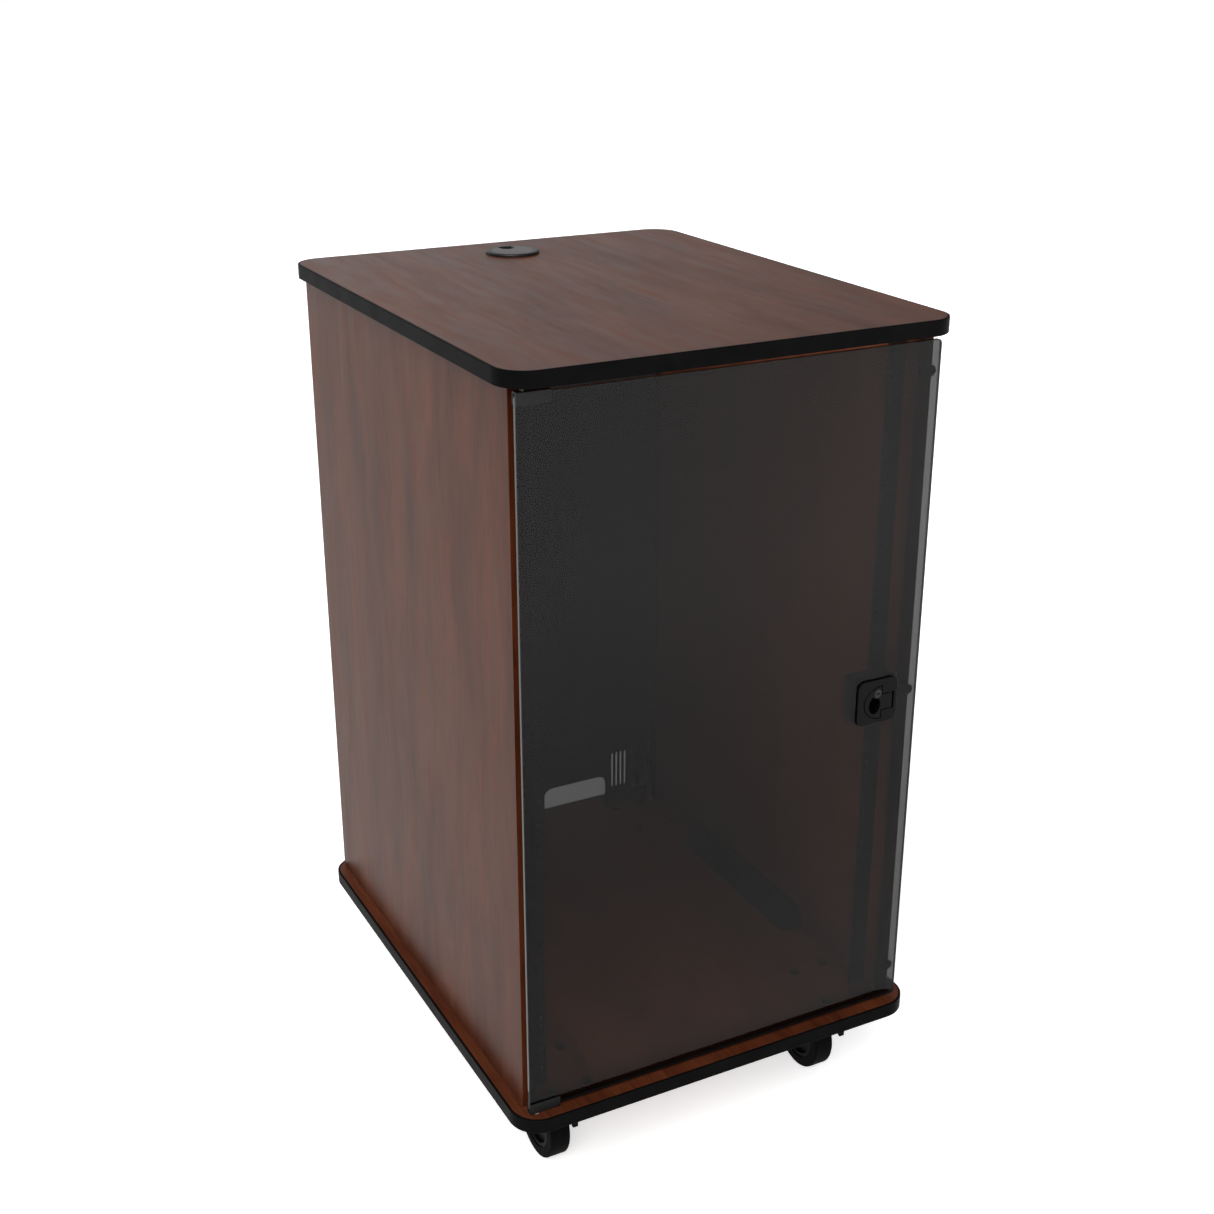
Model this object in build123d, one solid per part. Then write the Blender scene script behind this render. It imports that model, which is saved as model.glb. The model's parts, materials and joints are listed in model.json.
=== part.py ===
from build123d import *
import os

# Mobile equipment lectern: two moulded-edge boards, two side panels, a 19-inch rack bay behind a
# smoked glass door, a recessed steel rear door and four swivel casters.
# Millimetres. X to the right, Y to the back, Z up. The origin is on the floor, under the middle of
# the base board.

# ---------------------------------------------------------------- driving sizes
# Rack bay
rack_hole_spacing = 465.1       # between the two columns of rack holes
rack_hole_to_wall = 18.9
rack_units = 20
rack_unit_pitch = 44.45
rack_hole_steps = (6.35, 22.225, 38.1)
rack_hole_radius = 2.4
rail_thickness = 2.0
rail_flange = 25.0
rail_wall_leg = 32.0
rail_setback = 25.4             # rail face behind the front edge of the side panels
rail_end_gap = 2.5
rail_screw_count = 5
rail_screw_margin = 60.0
rail_screw_from_face = 19.2

# Boards and panels
board_thickness = 19.0
side_thickness = 19.0
bay_height = 900.0              # between the two boards
body_depth = 646.6
glass_setback = 18.1            # front of the glass behind the base's front edge
body_back_setback = 15.0        # from the base's back edge
base_side_overhang = 16.9
top_front_setback = 2.8         # the top board is a little smaller than the base
top_side_setback = 1.9
corner_radius = 38.1
moulding_thickness = 3.0
moulding_round = 1.0
barb_depth = 6.0
barb_thickness = 2.0
barb_clearance = 0.3
edge_band_thickness = 1.0

# Steel corner angles and their screws
angle_length = 291.0
angle_board_leg = 33.0
angle_wall_leg = 30.0
angle_thickness = 3.0
angle_corner = 12.0
angle_screw_pitch = 110.0
angle_board_screw = 18.15       # screw line from the wall, on the board leg
angle_wall_screw = 16.5         # screw line above the board, on the wall leg
screw_radius = 2.0
screw_head_radius = 4.2
screw_head_height = 2.2
screw_length = 14.0
head_round_share = 0.4          # rounded part of a screw head's height

# Cable grommet in the top board
grommet_from_back = 86.0
grommet_flange_radius = 36.5
grommet_flange_height = 4.0
grommet_flange_round = 2.4
grommet_hole_radius = 30.0
grommet_wall = 2.0
grommet_ledge = 3.0
grommet_cap_thickness = 4.0
grommet_slot_width = 20.0
grommet_slot_depth = 20.0

# Glass door
glass_thickness = 5.0
glass_side_reveal = 0.75        # glass edge inside the outer face of the side panel
glass_bottom_gap = 2.9
glass_top_gap = 7.1
glass_to_body = 12.3
glass_corner = 6.0
glass_edge_chamfer = 0.6
bumper_radius = 6.5
bumper_gap = 0.3
bumper_from_end = 45.0

# Pivot hinge clips on the glass
clip_length = 40.0
clip_lip = 12.0
clip_wall = 1.4
clip_round = 0.98
gasket_thickness = 0.8
gasket_margin = 1.5
pivot_inset = 8.8               # pivot axis from the hinge edge of the glass
pivot_pin_radius = 2.5
pivot_pin_depth = 9.0
pivot_running_clearance = 0.05
bushing_wall = 2.0
bushing_length = 10.0
clamp_screw_inset = 10.0
clamp_screw_radius = 2.0
clamp_screw_head_radius = 3.2
clamp_screw_head = 1.6

# Door latch
latch_wall_gap = 13.45          # latch plate's right side to the right panel's inner face
plate_width = 58.6
plate_height = 59.7
plate_corner = 10.0
plate_thickness = 2.8
plate_round = 1.0
recess_depth = 12.0
handle_thickness = 6.0
handle_gap = 1.35
ring_flat_x = 5.5               # flat side of the D-shaped ring, from the latch centre
ring_reach = 24.6
ring_half_height = 21.2
ring_drop = 1.6                 # the ring sits this far below the latch centre
grip_x = -4.1                   # middle of the oval finger hole, from the latch centre
grip_drop = 4.4
grip_half_width = 8.4
grip_half_height = 11.8
arm_end_x = 23.2
arm_height = 19.9
handle_pin_radius = 1.5
handle_pin_bite = 3.0           # pin length held in the housing at each end
key_x = 0.0
key_above = 10.7
key_radius = 5.5
key_length = 9.0
key_proud = 0.4
key_boss_wall = 1.6
keyway_width = 6.6
keyway_height = 1.2
keyway_depth = 5.4
housing_wall = 2.5
housing_corner = 5.0
housing_back_wall = 19.9
glass_hole_clearance = 1.0
cover_wall = 1.5
cover_margin = 5.0
cover_screw_inset = 4.0
cover_screw_offset = 15.75
bolt_width = 10.0
bolt_thickness = 5.0
bolt_length = 20.5
bolt_inset = 0.5                # bolt's end inside the latch's right side when drawn back
bolt_strike_gap = 0.65          # thrown bolt's end to the strike plate
bolt_clearance = 0.3
bolt_from_body_front = 3.5      # front face of the bolt, behind the side panel's front edge
bolt_bevel = 2.5
strike_depth = 14.5
strike_height = 46.6
strike_thickness = 1.5
strike_lip_reach = 4.5
strike_lip_height = 22.0
strike_lip_setback = 1.0
strike_screw_offset = 17.0
strike_screw_from_front = 8.0
strike_corner = 2.0

# Rear door
rear_recess = 31.7              # outer face of the rear door inside the back of the body
rear_sheet = 1.5
rear_flange = 12.0
rear_side_gap = 3.0
rear_top_gap = 2.0
rear_bolt_gap = 1.5             # over the heads of the caster bolts
cable_cut_inner_x = 53.0
cable_cut_outer_x = 162.0
cable_cut_height = 62.0
cable_cut_corner = 14.0
vent_first_x = 174.5
vent_pitch = 7.6
vent_count = 4
vent_width = 3.5
vent_bottom = 39.0              # above the base board
vent_height = 60.0
tie_slot_x = 219.0
tie_slot_length = 30.0
tie_slot_height = 3.0
tie_slot_above = 18.0
rear_pivot_inset = 6.5
rear_pivot_from_face = 5.0
rear_pin_radius = 2.5
rear_barrel_radius = 3.2
rear_barrel_length = 36.0
rear_hinge_reach = 34.0
rear_hinge_height = 100.0
rear_foot_reach = 2.24
rivet_radius = 3.0
rivet_height = 1.2
rivet_from_pivot = 23.6
rivet_margin = 14.0
rear_lock_inset = 25.2          # lock axis from the free edge
rear_plug_radius = 8.0
rear_head_radius = 11.0
rear_head_thickness = 2.0
rear_head_round = 0.8
rear_keyway_length = 8.0
rear_head_gap = 0.3
rear_plug_inside = 23.3         # plug length inside the sheet
cam_length = 22.0
cam_width = 14.0
cam_thickness = 3.0
cam_corner = 4.2
catch_reach = 14.0
catch_thickness = 2.0
catch_height = 40.0
catch_wall_leg = 26.0
catch_gap = 2.0
catch_screw_from_hook = 15.6
catch_screw_offset = 10.0
stop_width = 40.0
stop_leg = 26.0
stop_thickness = 2.0
stop_gap = 1.3
stop_screw_from_face = 14.3
stop_x = 195.0

# Casters
wheel_radius = 50.0
wheel_width = 28.0
tread_round = 3.0
tyre_thickness = 14.0
wheel_to_crown = 12.5           # tread to the underside of the fork's crown, in height
hub_width = 25.0
hub_boss_radius = 11.0
hub_side_gap = 0.5
hub_rim = 5.0
hub_dish_depth = 5.0
caster_trail = 40.0
caster_x = 202.0
front_caster_inset = 83.0       # swivel axis from the base's front edge
rear_caster_inset = 92.5        # swivel axis from the base's back edge
plate_x = 60.3
plate_y = 92.1
caster_plate_thickness = 3.0
caster_plate_corner = 6.0
caster_bolt_spacing_x = 45.7
caster_bolt_spacing_y = 77.1
caster_bolt_radius = 3.2
caster_bolt_head_radius = 6.0
caster_bolt_head_height = 4.0
caster_bolt_clearance = 0.3
nut_width = 11.0
nut_height = 5.5
bolt_end_proud = 1.5
race_radius = 28.0
race_height = 8.0
race_gap = 0.5
race_round = 2.0
crown_radius = 26.0
crown_height = 9.0
crown_round = 1.5
kingpin_radius = 6.0
kingpin_head_radius = 9.0
kingpin_head_height = 3.0
kingpin_head_gap = 0.4
running_clearance = 0.05
fork_thickness = 3.0
fork_side_gap = 3.0             # wheel side to fork leg
fork_boss_radius = 12.0
fork_leg_back = 23.4            # back edge of the leg where it meets the crown
fork_leg_boss_y = 10.8          # lower front corner of the leg, from the axle
fork_leg_boss_z = 5.4
axle_radius = 5.0
axle_head_radius = 8.0
axle_head_height = 5.0
axle_head_round = 1.5
brake_pivot_y = -16.0
brake_pivot_below_base = 31.0
brake_pin_radius = 2.5
brake_boss = 6.25               # fork metal around the brake pin, from its axis
brake_side_gap = 1.5
brake_tip_y = -38.0
brake_tip_below_base = 36.0
brake_shoe_drop = 24.0
brake_arm_thickness = 6.0
brake_shoe_thickness = 8.0
brake_tooth_x = 7.5             # middle of the downturned toe tab, from the middle of the pedal
brake_tooth_width = 7.0
brake_tooth_thickness = 4.5
brake_tooth_drop = 11.0

overcut = 1.0                   # how far a cutting shape runs past the face that it cuts

# ---------------------------------------------------------------- levels and faces
bay_width = rack_hole_spacing + 2 * rack_hole_to_wall
wall_x = bay_width / 2
body_width = bay_width + 2 * side_thickness
base_width = body_width + 2 * base_side_overhang
body_front_setback = glass_setback + glass_thickness + glass_to_body
base_depth = body_depth + body_front_setback + body_back_setback
base_front = -base_depth / 2
base_back = base_depth / 2
body_front = base_front + body_front_setback
body_back = base_back - body_back_setback
body_middle_y = (body_front + body_back) / 2
hub_radius = wheel_radius - tyre_thickness
crown_bottom = 2 * wheel_radius + wheel_to_crown
crown_top = crown_bottom + crown_height
base_bottom = crown_top + race_gap + race_height + caster_plate_thickness
floor_z = base_bottom + board_thickness
ceiling_z = floor_z + bay_height
top_z = ceiling_z + board_thickness
middle_z = (floor_z + ceiling_z) / 2
top_front = base_front + top_front_setback

glass_back = body_front - glass_to_body
glass_front = glass_back - glass_thickness
glass_middle = (glass_front + glass_back) / 2
glass_edge_x = body_width / 2 - glass_side_reveal
glass_bottom = floor_z + glass_bottom_gap
glass_top = ceiling_z - glass_top_gap
pivot_x = -glass_edge_x + pivot_inset

latch_x = wall_x - latch_wall_gap - plate_width / 2
bolt_travel = latch_wall_gap + bolt_inset - strike_thickness - bolt_strike_gap
latch_z = (glass_bottom + glass_top) / 2
plate_front = glass_front - plate_thickness
ring_z = latch_z - ring_drop
handle_pivot_x = latch_x + arm_end_x - handle_thickness / 2
handle_pivot_y = plate_front + handle_thickness / 2
key_z = latch_z + key_above

rear_face = body_back - rear_recess
rear_inner = rear_face - rear_sheet
rear_edge_x = wall_x - rear_side_gap
rear_bottom = floor_z + caster_bolt_head_height + rear_bolt_gap
rear_top = ceiling_z - rear_top_gap
rear_pivot_x = rear_edge_x - rear_pivot_inset
rear_pivot_y = rear_face - rear_pivot_from_face
rear_lock_x = -rear_edge_x + rear_lock_inset
rear_lock_back = rear_inner - rear_plug_inside

grommet_y = base_back - grommet_from_back
rail_face = body_front + rail_setback


# ---------------------------------------------------------------- basic shapes
def block(x0, x1, y0, y1, z0, z1):
    """Box between two corners."""
    middle = Pos((x0 + x1) / 2, (y0 + y1) / 2, (z0 + z1) / 2)
    return middle * Box(x1 - x0, y1 - y0, z1 - z0)


def rod(radius, start, end):
    """Round bar between two points."""
    run = Vector(*end) - Vector(*start)
    ends = (Align.CENTER, Align.CENTER, Align.MIN)
    return Plane(origin=start, z_dir=run) * Cylinder(radius, run.length, align=ends)


def both_sides(shape):
    """The shape and its mirror image across the middle of the lectern."""
    return [shape, mirror(shape, about=Plane.YZ)]


def both_ends(shape):
    """The shape and its mirror image across the middle of the bay's height."""
    return [shape, mirror(shape, about=Plane.XY.offset(middle_z))]


def front_plane(y):
    """Sketch plane facing the front: local x to the right, local y up."""
    return Plane(origin=(0, y, 0), x_dir=(1, 0, 0), z_dir=(0, -1, 0))


def screw(start, direction, length, radius, head_radius, head_height):
    """Pan-head screw: start is under the head, direction is the way it is driven in."""
    way = Vector(*direction)
    seat = Vector(*start)
    shank = rod(radius, tuple(seat), tuple(seat + way * length))
    head = rod(head_radius, tuple(seat), tuple(seat - way * head_height))
    rims = head.edges().filter_by(GeomType.CIRCLE)
    outer_rim = rims.sort_by(lambda rim: rim.center().dot(way))[0]
    return fillet([outer_rim], head_height * head_round_share) + shank


def wood_screw(start, direction):
    return screw(start, direction, screw_length, screw_radius, screw_head_radius, screw_head_height)


def screw_hole(start, direction):
    """Pilot hole of a wood screw, from the face under the screw's head."""
    end = Vector(*start) + Vector(*direction) * screw_length
    return rod(screw_radius, start, tuple(end))


def save(name, *shapes):
    """Write one node: a single solid, or a group of separate ones."""
    solids = [solid for shape in shapes for solid in shape.solids()]
    node = solids[0] if len(solids) == 1 else Compound(children=solids)
    export_step(node, f"parts/{name}.step")


# ---------------------------------------------------------------- steel corner angles
def corner_angle():
    """Angle in the corner of the base board and the right side panel, with its screws' places."""
    y0 = body_middle_y - angle_length / 2
    y1 = body_middle_y + angle_length / 2
    board_leg = block(wall_x - angle_board_leg, wall_x, y0, y1, floor_z, floor_z + angle_thickness)
    board_leg = fillet(board_leg.edges().filter_by(Axis.Z).sort_by(Axis.X)[:2], angle_corner)
    wall_leg = block(wall_x - angle_thickness, wall_x, y0, y1, floor_z, floor_z + angle_wall_leg)
    wall_leg = fillet(wall_leg.edges().filter_by(Axis.X).sort_by(Axis.Z)[-2:], angle_corner)
    places = []
    for step in (-1, 0, 1):
        y = body_middle_y + step * angle_screw_pitch
        board_x = wall_x - angle_board_screw
        wall_z = floor_z + angle_wall_screw
        places.append(((board_x, y, floor_z + angle_thickness), (0, 0, -1)))
        places.append(((wall_x - angle_thickness, y, wall_z), (1, 0, 0)))
    holes = [screw_hole(*place) for place in places]
    screws = [wood_screw(*place) for place in places]
    return (board_leg + wall_leg) - holes, screws, holes


angle, angle_screws, angle_holes = corner_angle()
angle_hole_sets = [hole for shape in angle_holes for hole in both_sides(shape)]
angle_hole_sets = [hole for shape in angle_hole_sets for hole in both_ends(shape)]


# ---------------------------------------------------------------- rack rails
def rack_rail():
    """Right-hand rack rail with its hole column, and the places of its screws."""
    z0 = floor_z + rail_end_gap
    z1 = ceiling_z - rail_end_gap
    front = block(wall_x - rail_flange, wall_x, rail_face, rail_face + rail_thickness, z0, z1)
    leg = block(wall_x - rail_thickness, wall_x, rail_face, rail_face + rail_wall_leg, z0, z1)
    first_unit_z = middle_z - rack_units * rack_unit_pitch / 2
    holes = []
    for unit in range(rack_units):
        for step in rack_hole_steps:
            z = first_unit_z + unit * rack_unit_pitch + step
            x = rack_hole_spacing / 2
            holes.append(rod(rack_hole_radius, (x, rail_face, z), (x, rail_face + rail_thickness, z)))
    span = z1 - z0 - 2 * rail_screw_margin
    screw_y = rail_face + rail_screw_from_face
    places = []
    for number in range(rail_screw_count):
        z = z0 + rail_screw_margin + span * number / (rail_screw_count - 1)
        places.append(((wall_x - rail_thickness, screw_y, z), (1, 0, 0)))
    screw_holes = [screw_hole(*place) for place in places]
    screws = [wood_screw(*place) for place in places]
    return (front + leg) - holes - screw_holes, screws, screw_holes


rail, rail_screws, rail_screw_holes = rack_rail()


# ---------------------------------------------------------------- latch strike
def strike():
    """Bright strike plate on the inside of the right panel, with a lip that the bolt hooks behind."""
    x0 = wall_x - strike_thickness
    z0 = latch_z - strike_height / 2
    z1 = latch_z + strike_height / 2
    plate = block(x0, wall_x, body_front, body_front + strike_depth, z0, z1)
    plate = fillet(plate.edges().filter_by(Axis.X), strike_corner)
    lip_y = body_front + strike_lip_setback
    lip_z0 = latch_z - strike_lip_height / 2
    lip_z1 = latch_z + strike_lip_height / 2
    lip = block(x0 - strike_lip_reach, wall_x, lip_y, lip_y + strike_thickness, lip_z0, lip_z1)
    places = []
    for side in (-1, 1):
        seat = (x0, body_front + strike_screw_from_front, latch_z + side * strike_screw_offset)
        places.append((seat, (1, 0, 0)))
    holes = [screw_hole(*place) for place in places]
    return (plate + lip) - holes, [wood_screw(*place) for place in places], holes


strike_plate, strike_screws, strike_holes = strike()


# ---------------------------------------------------------------- rear door's fixed fittings
def rear_catch():
    """Catch on the left wall that the rear lock's cam turns behind."""
    y1 = rear_lock_back + cam_thickness + catch_gap + catch_thickness
    z0 = middle_z - catch_height / 2
    z1 = middle_z + catch_height / 2
    hook = block(-wall_x, -wall_x + catch_reach, y1 - catch_thickness, y1, z0, z1)
    leg = block(-wall_x, -wall_x + catch_thickness, y1 - catch_wall_leg, y1, z0, z1)
    places = []
    for side in (-1, 1):
        seat = (-wall_x + catch_thickness, y1 - catch_screw_from_hook, middle_z + side * catch_screw_offset)
        places.append((seat, (-1, 0, 0)))
    holes = [screw_hole(*place) for place in places]
    return (hook + leg) - holes, [wood_screw(*place) for place in places], holes


def rear_stop():
    """Right-hand stop under the top board that the rear door closes against."""
    y1 = rear_inner - rear_flange - stop_gap
    x0 = stop_x - stop_width / 2
    x1 = stop_x + stop_width / 2
    face = block(x0, x1, y1 - stop_thickness, y1, ceiling_z - stop_leg, ceiling_z)
    leg = block(x0, x1, y1 - stop_leg, y1, ceiling_z - stop_thickness, ceiling_z)
    seat = (stop_x, y1 - stop_screw_from_face, ceiling_z - stop_thickness)
    place = (seat, (0, 0, 1))
    return (face + leg) - screw_hole(*place), wood_screw(*place), screw_hole(*place)


catch, catch_screws, catch_holes = rear_catch()
stop, stop_screw, stop_hole = rear_stop()


# ---------------------------------------------------------------- hinge bushings
def bushing(x, y, z, way):
    """Plain bushing for a pivot pin, flush with the board; way is +1 up or -1 down."""
    outer = rod(pivot_pin_radius + bushing_wall, (x, y, z), (x, y, z + way * bushing_length))
    bore = rod(pivot_pin_radius + pivot_running_clearance, (x, y, z), (x, y, z + way * bushing_length))
    return outer - bore, outer


bushing_places = [
    (pivot_x, glass_middle, floor_z, -1),
    (pivot_x, glass_middle, ceiling_z, 1),
    (rear_pivot_x, rear_pivot_y, floor_z, -1),
    (rear_pivot_x, rear_pivot_y, ceiling_z, 1),
]
bushings = [bushing(*place)[0] for place in bushing_places]
bushing_holes = [bushing(*place)[1] for place in bushing_places]


# ---------------------------------------------------------------- casters: places and fixings
caster_places = {
    "front_left": (-caster_x, base_front + front_caster_inset),
    "front_right": (caster_x, base_front + front_caster_inset),
    "rear_left": (-caster_x, base_back - rear_caster_inset),
    "rear_right": (caster_x, base_back - rear_caster_inset),
}


def caster_bolt_points():
    points = []
    for x, y in caster_places.values():
        for side in (-1, 1):
            for end in (-1, 1):
                point = (x + side * caster_bolt_spacing_x / 2, y + end * caster_bolt_spacing_y / 2)
                points.append(point)
    return points


def caster_fixing(x, y):
    """Bolt from inside the bay, through the base and the caster plate, and its nut."""
    plate_bottom = base_bottom - caster_plate_thickness
    length = board_thickness + caster_plate_thickness + nut_height + bolt_end_proud
    bolt = screw((x, y, floor_z), (0, 0, -1), length, caster_bolt_radius,
                 caster_bolt_head_radius, caster_bolt_head_height)
    nut_shape = Pos(x, y, plate_bottom - nut_height) * extrude(
        RegularPolygon(nut_width / 2, 6, major_radius=False), nut_height)
    nut = nut_shape - rod(caster_bolt_radius, (x, y, plate_bottom - nut_height), (x, y, plate_bottom))
    return bolt, nut


def caster_bolt_hole(x, y):
    bottom = base_bottom - caster_plate_thickness
    return rod(caster_bolt_radius + caster_bolt_clearance, (x, y, bottom), (x, y, floor_z))


# ---------------------------------------------------------------- boards and panels
def board(width, depth, middle_y, bottom):
    """Board with a grooved edge, and the black moulding whose barb sits in the groove."""
    def outline(inset):
        return RectangleRounded(width - 2 * inset, depth - 2 * inset, corner_radius - inset)

    place = Pos(0, middle_y, bottom)
    whole = extrude(outline(0), board_thickness)
    rims = whole.faces().sort_by(Axis.Z)[0].edges() + whole.faces().sort_by(Axis.Z)[-1].edges()
    whole = fillet(rims, moulding_round)
    core = extrude(outline(moulding_thickness), board_thickness)
    barb_inset = moulding_thickness + barb_depth
    groove_height = barb_thickness + 2 * barb_clearance
    barb = extrude(outline(moulding_thickness) - outline(barb_inset), barb_thickness)
    groove = extrude(outline(moulding_thickness) - outline(barb_inset + barb_clearance), groove_height)
    middle = board_thickness / 2
    moulding = (whole - core) + Pos(0, 0, middle - barb_thickness / 2) * barb
    core = core - Pos(0, 0, middle - groove_height / 2) * groove
    return place * core, place * moulding


base_panel, base_moulding = board(base_width, base_depth, 0, base_bottom)
top_width = base_width - 2 * top_side_setback
top_depth = base_back - top_front
top_panel, top_moulding = board(top_width, top_depth, (top_front + base_back) / 2, ceiling_z)

grommet_bore = rod(grommet_hole_radius, (0, grommet_y, ceiling_z), (0, grommet_y, top_z))
stop_holes = both_sides(stop_hole)
base_panel = base_panel - [caster_bolt_hole(x, y) for x, y in caster_bolt_points()]
base_panel = base_panel - bushing_holes - angle_hole_sets
top_panel = top_panel - grommet_bore - bushing_holes - angle_hole_sets - stop_holes


def side_panel(side):
    """Side panel without its edge bands; side is -1 left or +1 right."""
    x0, x1 = sorted((side * wall_x, side * (wall_x + side_thickness)))
    y0 = body_front + edge_band_thickness
    y1 = body_back - edge_band_thickness
    return block(x0, x1, y0, y1, floor_z, ceiling_z)


def edge_bands():
    """Thin veneer bands on the front and back edges of both side panels."""
    bands = []
    for side in (-1, 1):
        x0, x1 = sorted((side * wall_x, side * (wall_x + side_thickness)))
        for y0 in (body_front, body_back - edge_band_thickness):
            bands.append(block(x0, x1, y0, y0 + edge_band_thickness, floor_z, ceiling_z))
    return bands


rail_hole_pairs = [hole for shape in rail_screw_holes for hole in both_sides(shape)]
left_panel = side_panel(-1) - angle_hole_sets - rail_hole_pairs - catch_holes
right_panel = side_panel(1) - angle_hole_sets - rail_hole_pairs - strike_holes


# ---------------------------------------------------------------- cable grommet
def grommet():
    """Sleeve with a raised flange, and a turning cap with a cable slot."""
    bore_radius = grommet_hole_radius - grommet_wall
    rim_z = top_z + grommet_flange_height
    sleeve = rod(grommet_hole_radius, (0, grommet_y, ceiling_z), (0, grommet_y, top_z))
    flange = rod(grommet_flange_radius, (0, grommet_y, top_z), (0, grommet_y, rim_z))
    flange = fillet([flange.faces().sort_by(Axis.Z)[-1].edges()[0]], grommet_flange_round)
    bore = rod(bore_radius, (0, grommet_y, ceiling_z), (0, grommet_y, rim_z))
    ledge_top = rim_z - grommet_cap_thickness - running_clearance
    ledge = rod(bore_radius, (0, grommet_y, ledge_top - grommet_wall), (0, grommet_y, ledge_top))
    ledge = ledge - rod(bore_radius - grommet_ledge, (0, grommet_y, ceiling_z), (0, grommet_y, rim_z))
    sleeve = (sleeve + flange - bore) + ledge
    cap_bottom = rim_z - grommet_cap_thickness
    cap = rod(bore_radius - running_clearance, (0, grommet_y, cap_bottom), (0, grommet_y, rim_z))
    slot_y = grommet_y + bore_radius - grommet_slot_depth
    half = grommet_slot_width / 2
    slot = block(-half, half, slot_y + half, grommet_y + bore_radius, cap_bottom, rim_z)
    slot = slot + rod(half, (0, slot_y + half, cap_bottom), (0, slot_y + half, rim_z))
    return sleeve, cap - slot


grommet_sleeve, grommet_cap = grommet()


# ---------------------------------------------------------------- glass door
def glass_panel():
    pane = block(-glass_edge_x, glass_edge_x, glass_front, glass_back, glass_bottom, glass_top)
    pane = fillet(pane.edges().filter_by(Axis.Y), glass_corner)
    rims = pane.faces().sort_by(Axis.Y)[0].edges() + pane.faces().sort_by(Axis.Y)[-1].edges()
    pane = chamfer(rims, glass_edge_chamfer)
    x0, x1, z0, z1 = housing_body_limits(glass_hole_clearance)
    hole = block(x0, x1, glass_front, glass_back, z0, z1)
    return pane - fillet(hole.edges().filter_by(Axis.Y), housing_corner + glass_hole_clearance)


def hinge_clip():
    """Bottom U-clip with its gasket and clamp screws, on the hinge corner of the glass."""
    x0 = -glass_edge_x
    x1 = x0 + clip_length
    inner = glass_thickness / 2 + gasket_thickness
    outer = inner + clip_wall
    y = glass_middle
    z0 = glass_bottom - gasket_thickness - clip_wall
    z1 = glass_bottom + clip_lip
    clip = block(x0, x1, y - outer, y + outer, z0, z1)
    clip = fillet(clip.edges().filter_by(Axis.X).sort_by(Axis.Z)[:2], clip_round)
    clip = clip - block(x0, x1, y - inner, y + inner, glass_bottom - gasket_thickness, z1)
    gasket = block(x0, x1 - gasket_margin, y - inner, y + inner,
                   glass_bottom - gasket_thickness, z1 - gasket_margin)
    half_glass = glass_thickness / 2
    gasket = gasket - block(x0, x1, y - half_glass, y + half_glass, glass_bottom, z1)
    screws = []
    for x in (x0 + clamp_screw_inset, x1 - clamp_screw_inset):
        seat = (x, y + outer, glass_bottom + clip_lip / 2)
        screws.append(screw(seat, (0, -1, 0), clip_wall, clamp_screw_radius,
                            clamp_screw_head_radius, clamp_screw_head))
        clip = clip - rod(clamp_screw_radius, seat, (x, y + inner, seat[2]))
    pin = rod(pivot_pin_radius, (pivot_x, y, floor_z - pivot_pin_depth),
              (pivot_x, y, z0 + clip_wall))
    return clip - pin, gasket, screws, pin


def top_clip_pin():
    """Pivot pin of the top clip: longer, because the gap over the glass is larger."""
    end = glass_top + gasket_thickness
    return rod(pivot_pin_radius, (pivot_x, glass_middle, end),
               (pivot_x, glass_middle, ceiling_z + pivot_pin_depth))


def to_top(shape):
    """Move a bottom clip piece to the top corner of the glass."""
    return mirror(shape, about=Plane.XY.offset((glass_bottom + glass_top) / 2))


# ---------------------------------------------------------------- latch
def housing_body_limits(margin):
    """Left, right, low and high sides of the housing where it passes through the glass."""
    left = latch_x + ring_flat_x - ring_reach - handle_gap - housing_wall
    right = latch_x + arm_end_x + handle_gap + housing_wall
    low = ring_z - ring_half_height - handle_gap - housing_wall
    high = ring_z + ring_half_height + handle_gap + housing_wall
    return left - margin, right + margin, low - margin, high + margin


def ring_outline(margin):
    """D shape: half an ellipse, flat on the right, grown all round by a margin."""
    flat_x = latch_x + ring_flat_x + margin
    reach = ring_reach + 2 * margin
    height = ring_half_height + margin
    half = Pos(flat_x, ring_z) * Ellipse(reach, height)
    return half - Pos(flat_x + reach, ring_z) * Rectangle(2 * reach, 2 * (height + overcut))


def handle_outline(margin):
    x0 = latch_x + ring_flat_x - overcut
    x1 = latch_x + arm_end_x + margin
    arm = Pos((x0 + x1) / 2, ring_z) * Rectangle(x1 - x0, arm_height + 2 * margin)
    return ring_outline(margin) + arm


def latch_housing():
    plate = Pos(latch_x, latch_z) * RectangleRounded(plate_width, plate_height, plate_corner)
    shell = extrude(front_plane(glass_front) * plate, plate_thickness)
    rim = shell.faces().sort_by(Axis.Y)[0].edges()
    shell = fillet(rim, plate_round)
    x0, x1, z0, z1 = housing_body_limits(0)
    back_y = plate_front + recess_depth + housing_back_wall
    body = block(x0, x1, glass_front, back_y, z0, z1)
    shell = shell + fillet(body.edges().filter_by(Axis.Y), housing_corner)
    recess = front_plane(plate_front + recess_depth) * handle_outline(handle_gap)
    shell = shell - extrude(recess, recess_depth)
    channel = bolt_shape(bolt_clearance, bolt_travel)
    shell = shell - channel - handle_pin() - latch_cover_screw_holes()
    return shell


def handle_pin():
    half = arm_height / 2 + handle_gap + handle_pin_bite
    return rod(handle_pin_radius, (handle_pivot_x, handle_pivot_y, ring_z - half),
               (handle_pivot_x, handle_pivot_y, ring_z + half))


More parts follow.
